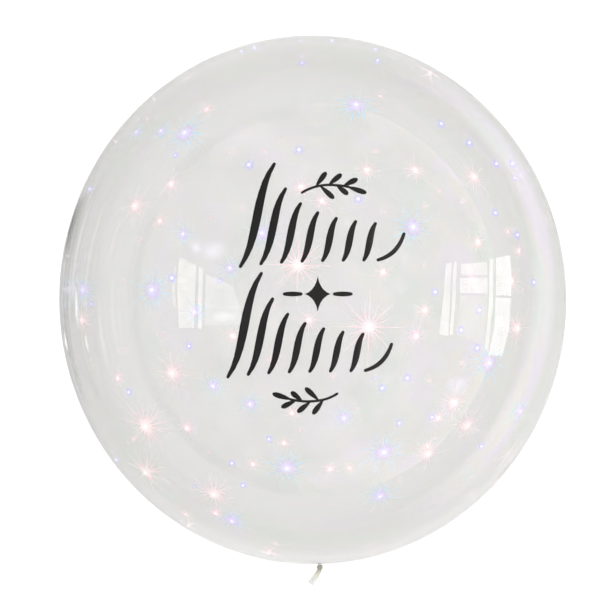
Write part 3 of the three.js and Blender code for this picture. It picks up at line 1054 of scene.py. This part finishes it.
def studio_world():
    world = bpy.data.worlds.new("light_tent")
    world.use_nodes = True
    tree = world.node_tree
    tree.nodes.clear()
    way = add(tree, COORDINATES).outputs["Generated"]
    side = add(tree, SEPARATE, way).outputs["X"]
    shades = add(tree, NOISE, {"Vector": way, "Scale": SHADE_SCALE, "Detail": 3.0})
    shift = add(tree, MAP_RANGE, (shades, NOISE_LOW, NOISE_HIGH, -SHADE_SHIFT, SHADE_SHIFT))
    shifted = add(tree, MATH, (side, shift), operation="ADD")
    light = add(tree, MAP_RANGE, (shifted, DARK_END, 1.0, ROOM_LEFT, ROOM_RIGHT))
    sky = add(tree, "ShaderNodeBackground", {"Color": linear("#FFFFFF"), "Strength": SKY_LIGHT})
    walls = add(tree, "ShaderNodeBackground", {"Color": room_patches(tree, way), "Strength": light})
    both = add(tree, "ShaderNodeMixShader", (is_mirrored(tree), sky, walls))
    add(tree, "ShaderNodeOutputWorld", both)
    bpy.context.scene.world = world


studio_world()
print("sky light", SKY_LIGHT, "and mirrored room", ROOM_LEFT, "to", ROOM_RIGHT)

# %% [markdown]
# The floor is a sheet of white paper. The outer part of the film mirrors the floor round the balloon,
# and there the photograph shows a dim band on the left, and on the right a bright lilac band between
# two darker ones. A photographer's cloths, laid round the balloon, would give them. Here the light that
# the film mirrors from the paper goes by distance and bearing instead.

# %% Floor
FLOOR_SIZE = 60
CORNER_SIGNS = [(-1, -1), (1, -1), (1, 1), (-1, 1)]
FLOOR_DROP = 0.2 * MM
FIBRE_WIDTH = 4 * MM
BAND_START = 0.25
BAND_END = 2.75
DRAWN_IN = 0.58
DRAWN_REACH = 0.5
RIGHT_FROM = 0.35
RIGHT_FULL = 0.85
PATCHES_FROM = 0.1
PATCHES_FULL = 0.25
PATCH_SHARE = 0.7
FLOOR_LIGHT = 1.3
NECK_SIDE_LIGHT = 1.42
LEFT_LOSS = 0.3
LEFT_FROM = -0.3
RIGHT_BANDS = [
    (0.0, "#E3E2E1"), (0.085, "#D3D3D1"), (0.13, "#EEE4FA"), (0.19, "#F0E6FC"), (0.28, "#B2AEA2"),
    (0.7, "#A8A498"), (1.0, "#C8C4C0"),
]
LEFT_BANDS = [(0.05, "#E0DFDE"), (0.1, "#DAD9D8"), (0.16, "#C1C0BD"), (0.3, "#9A9890"), (1.0, "#94928C")]


def white_paper():
    # Rolled uncoated paper, all fibre and no gloss. To the eye it is plain white right up to the edge, and
    # for mirrored light it glows in bands as a painted reflection.
    material, tree = new_material("white_paper")
    place = add(tree, COORDINATES).outputs["Object"]
    fibre = add(tree, NOISE, {"Vector": place, "Scale": 1 / FIBRE_WIDTH, "Detail": 2.0})
    colour = add(tree, COLOUR_RAMP, fibre, stops=[(0.3, "#F6F6F6"), (0.7, "#F9F9F9")])
    white = add(tree, "ShaderNodeBsdfDiffuse", {"Color": colour})
    distance = add(tree, VECTOR_MATH, place, operation="LENGTH").outputs["Value"]
    far = add(tree, MAP_RANGE, (distance, BAND_START, BAND_END, 0.0, 1.0))
    bearing = add(tree, VECTOR_MATH, place, operation="NORMALIZE")
    bearing = add(tree, SEPARATE, bearing)
    # Towards the neck the bright band lies further out, so its mirror image stands further in.
    drawn_in = add(tree, MAP_RANGE, (bearing.outputs["Y"], -DRAWN_REACH, DRAWN_REACH, DRAWN_IN, 1.0))
    nearer = add(tree, MATH, (far, drawn_in), operation="MULTIPLY")
    right = add(tree, COLOUR_RAMP, nearer, stops=RIGHT_BANDS)
    left = add(tree, COLOUR_RAMP, far, stops=LEFT_BANDS)
    share = add(tree, MAP_RANGE, (bearing.outputs["X"], RIGHT_FROM, RIGHT_FULL, 0.0, 1.0))
    bands = add(tree, "ShaderNodeMix", {0: share, 6: left, 7: right}, data_type="RGBA")
    # The room's patches of colour run on over the floor, except near the balloon, which shows at the rim.
    beyond = add(tree, MAP_RANGE, (far, PATCHES_FROM, PATCHES_FULL, 0.0, PATCH_SHARE))
    reach = add(tree, MATH, (distance, math.e), operation="LOGARITHM")
    way = add(tree, COMBINE, (bearing.outputs["X"], bearing.outputs["Y"], reach))
    tinted = add(
        tree, "ShaderNodeMix", {0: beyond, 6: bands.outputs[2], 7: room_patches(tree, way)},
        data_type="RGBA", blend_type="COLOR",
    )
    below = add(tree, MAP_RANGE, (bearing.outputs["Y"], -1.0, 0.0, NECK_SIDE_LIGHT, FLOOR_LIGHT))
    leftward = add(tree, MAP_RANGE, (bearing.outputs["X"], -1.0, LEFT_FROM, -LEFT_LOSS, 0.0))
    strength = add(tree, MATH, (below, leftward), operation="ADD")
    # Mirrored light sees the paper glow in these bands and patches: a painted reflection of cloths and room
    # round the balloon, though the paper is no lamp.
    dim = add(tree, EMISSION, {"Color": tinted.outputs[2], "Strength": strength})
    both = add(tree, "ShaderNodeMixShader", (is_mirrored(tree), white, dim))
    add(tree, SURFACE_OUTPUT, both)
    return material


floor_mesh = bpy.data.meshes.new("floor")
corners = [(x * FLOOR_SIZE / 2, y * FLOOR_SIZE / 2, -FLOOR_DROP) for x, y in CORNER_SIGNS]
floor_mesh.from_pydata(corners, [], [range(len(corners))])
floor_mesh.materials.append(white_paper())
new_object("floor", floor_mesh)
print("floor", FLOOR_SIZE, "m wide")

# %% [markdown]
# Two windows show in the film. An area lamp behind a frame could give one, but its place would be found
# only by trying. Instead each pane is a lit card that only mirrored light can see, and its corners come
# from the corners of its own highlight: the line of sight bounces off the film, and the card hangs
# where it then goes.

# %% From a highlight to the card that makes it
CARD_DISTANCE = 1.6
VEIL_SCALE = 5.0
VEIL_CHANGE = 0.25
BAR_WIDTH = 0.1
BAR_SHADE = 0.2


def mirrored_place(pixel, distance=CARD_DISTANCE):
    """Where the line of sight of a pixel goes after the film mirrors it, at the cards' distance."""
    place, outward = on_film(*pixel)
    sight = (place - camera.location).normalized()
    bounced = sight - 2 * sight.dot(outward) * outward
    return place + bounced * distance


def lit_card(name, strength, hex_colour, bars, soft):
    """A lit pane. It may have thin darker glazing bars, or fade softly to all its sides."""
    material, tree = new_material(name)
    place = add(tree, COORDINATES)
    pane = add(tree, SEPARATE, place.outputs["UV"])
    # A net curtain and the sky outside make the pane uneven.
    veil = add(tree, NOISE, {"Vector": place.outputs["Object"], "Scale": VEIL_SCALE, "Detail": 3.0})
    light = add(tree, MAP_RANGE, (veil, NOISE_LOW, NOISE_HIGH, 1 - VEIL_CHANGE, 1 + VEIL_CHANGE))
    light = add(tree, MATH, (light, strength), operation="MULTIPLY")
    if bars:
        rows = add(tree, MATH, (pane.outputs["Y"], bars), operation="MULTIPLY")
        spacing = add(tree, MATH, rows, operation="FRACT")
        bar = add(tree, MATH, (spacing, BAR_WIDTH), operation="LESS_THAN")
        shade = add(tree, MATH, (bar, BAR_SHADE), operation="MULTIPLY")
        passed = add(tree, MATH, (1.0, shade), operation="SUBTRACT")
        light = add(tree, MATH, (light, passed), operation="MULTIPLY")
    if soft:
        for side in ("X", "Y"):
            half_turn = add(tree, MATH, (pane.outputs[side], math.pi), operation="MULTIPLY")
            fade = add(tree, MATH, half_turn, operation="SINE")
            light = add(tree, MATH, (light, fade), operation="MULTIPLY")
    card = add(tree, EMISSION, {"Color": linear(hex_colour), "Strength": light})
    if soft:
        # Where a soft card fades out, what lies behind it is mirrored instead.
        clear = add(tree, "ShaderNodeBsdfTransparent")
        cover = add(tree, MATH, (light, strength), operation="DIVIDE")
        card = add(tree, "ShaderNodeMixShader", (cover, clear, card))
    add(tree, SURFACE_OUTPUT, card)
    return material


def pane_mesh(name, left_edge, right_edge, distance, rows=6):
    """Quads between two edges of a highlight, each a row of pixels from top to bottom."""
    points = []
    for edge in (left_edge, right_edge):
        for i in range(rows + 1):
            along = i / rows * (len(edge) - 1)
            k = min(int(along), len(edge) - 2)
            a, b = Vector(edge[k]), Vector(edge[k + 1])
            points.append(mirrored_place(a.lerp(b, along - k), distance))
    data = bpy.data.meshes.new(name)
    data.from_pydata(points, [], [(i, i + 1, rows + 2 + i, rows + 1 + i) for i in range(rows)])
    places = data.uv_layers.new(name="pane")
    for loop in data.loops:
        across, down = divmod(loop.vertex_index, rows + 1)
        places.data[loop.index].uv = (across, down / rows)
    return data


def window(name, strength, hex_colour, panes, bars=0, soft=False, distance=CARD_DISTANCE):
    """Hangs one card for each pane of a highlight. Only mirrored light sees it."""
    material = lit_card(f"{name}_light", strength, hex_colour, bars, soft)
    for i, edges in enumerate(panes):
        data = pane_mesh(f"{name}_{i + 1}", *edges, distance)
        data.materials.append(material)
        card = new_object(data.name, data)
        card.visible_camera = card.visible_diffuse = card.visible_shadow = False
        card.visible_transmission = False


print("cards hang", CARD_DISTANCE, "m from the film")

# %% [markdown]
# Each pane is given by its left and its right edge in the picture, from top to bottom. The left window
# has two bright panes and a dim one with a bright sill, and the right window a narrow frame and six
# panes. A few soft cards beside them give the pale clouds that the net curtains leave.

# %% Window panes
LEFT_PANES = [
    ([(179, 257), (177, 290), (179, 328)], [(196, 265), (195, 295), (194, 328)]),
    ([(199, 266), (198, 300), (198, 329)], [(203, 269), (202, 300), (202, 329)]),
]
LEFT_STRIP = [([(174, 268), (172, 290), (173, 306)], [(176, 266), (175, 290), (176, 308)])]
LEFT_DIM_PANES = [([(206, 274), (205, 300), (205, 326)], [(232, 285), (240, 305), (243, 324)])]
LEFT_SILL = [([(204, 307), (204, 316), (203, 327)], [(243, 309), (245, 317), (245, 326)])]
CLOUDS = [
    ([(196, 240), (196, 250), (198, 264)], [(226, 236), (232, 250), (228, 266)]),
    ([(186, 240), (188, 248), (190, 256)], [(204, 238), (206, 247), (206, 256)]),
    ([(440, 375), (436, 385), (446, 398)], [(478, 366), (474, 385), (468, 400)]),
]
RIGHT_PANES = [
    ([(446, 264), (443, 300), (439, 334)], [(451.5, 262), (450, 300), (448, 336)]),
    ([(453.5, 262), (452, 300), (449.5, 335)], [(457, 262), (455.5, 300), (453, 334)]),
    ([(461, 264), (461, 270), (461, 275)], [(487, 262), (487, 268), (487, 275)]),
    ([(460, 278), (460, 286), (460, 293)], [(487.5, 278), (487.5, 286), (487.5, 293.5)]),
    ([(489.5, 259), (489, 305), (484.5, 350)], [(493, 259), (493, 305), (488, 350)]),
    ([(496, 258), (496.5, 277), (496, 295)], [(510, 255), (511, 275), (511, 296)]),
    ([(496, 297.5), (494, 330), (488, 355)], [(511, 298.5), (509, 330), (502, 356)]),
]
RIGHT_DIM_PANES = [([(460, 295.5), (458, 318), (456, 335)], [(487, 296), (486, 320), (482, 344)])]
window("left_window", 3.6, "#FFFBF0", LEFT_PANES, bars=4)
window("left_strip", 2.2, "#F4F2FF", LEFT_STRIP)
window("left_window_low", 2.5, "#F4EEFA", LEFT_DIM_PANES, bars=4)
window("left_sill", 4.6, "#F6F2FF", LEFT_SILL, soft=True)
window("clouds", 4.0, "#EEE6FF", CLOUDS, soft=True)
window("right_window", 4.3, "#FFFCF6", RIGHT_PANES)
window("right_window_low", 2.3, "#FFFCE8", RIGHT_DIM_PANES)
print("panes:", len(LEFT_PANES + LEFT_STRIP + LEFT_DIM_PANES + RIGHT_PANES + RIGHT_DIM_PANES))

# %% [markdown]
# Near the left edge the film mirrors things that stand low beside the balloon: thin bright streaks, a
# dark one above them, and the folds of a curtain, brighter and darker by turns. Their cards hang close
# to the film, because only what is close shows so near the edge.

# %% Streaks and curtain folds
LOW_DISTANCE = 0.35
FOLD_DISTANCE = 0.3
LEFT_STREAKS = [
    ([(73, 280), (74, 312), (78, 338)], [(78, 280), (80, 312), (84, 338)]),
    ([(82, 330), (84, 343), (87, 356)], [(86, 330), (89, 343), (92, 356)]),
    ([(62, 325), (64, 342), (67, 356)], [(66, 325), (68, 342), (71, 356)]),
]
LEFT_SHADE = [([(78, 190), (68, 228), (62, 262)], [(92, 194), (82, 230), (76, 264)])]
FOLD_SHADES = (0.55, 1.2, 0.65, 1.1, 0.5, 1.2, 0.78, 1.1, 0.65)
OUTER_FOLD = 0.985
FOLD_STEP = 0.026
FOLD_WIDTH = 0.024
FOLD_CORNERS = 7
FOLD_BEARING = 182
FOLD_SWAY = 14
SWAY_STEP = 2.3
FOLD_SPREAD = 20
SPREAD_CHANGE = 7
SPREAD_STEP = 1.7


def fold_edge(share, middle, spread):
    """Pixels along one side of a fold, at a share of the way from the bubble's middle to its outline."""
    across = BUBBLE_PIXELS / 2 * share
    along = across * HALF_LENGTH / HALF_WIDTH
    turns = [middle + spread * (2 * k / (FOLD_CORNERS - 1) - 1) for k in range(FOLD_CORNERS)]
    x, y = BUBBLE_MIDDLE
    return [(x + across * math.cos(t), y + along * math.sin(t)) for t in turns]


for i, shade in enumerate(FOLD_SHADES):
    share = OUTER_FOLD - FOLD_STEP * i
    middle = math.radians(FOLD_BEARING + FOLD_SWAY * math.sin(SWAY_STEP * i))
    spread = math.radians(FOLD_SPREAD + SPREAD_CHANGE * math.cos(SPREAD_STEP * i))
    edges = [fold_edge(share, middle, spread), fold_edge(share - FOLD_WIDTH, middle, spread)]
    window(f"curtain_fold_{i + 1}", shade, "#E6E6E0", [edges], soft=True, distance=FOLD_DISTANCE)
window("left_streaks", 1.9, "#FFFFFF", LEFT_STREAKS, soft=True, distance=LOW_DISTANCE)
window("left_shade", 0.4, "#A8B4A4", LEFT_SHADE, soft=True, distance=LOW_DISTANCE)
print("curtain folds:", len(FOLD_SHADES))

# %% [markdown]
# The picture keeps the plain Standard view, because a filmic curve would turn the white floor grey.

# %% Picture settings
bpy.context.scene.view_settings.view_transform = "Standard"
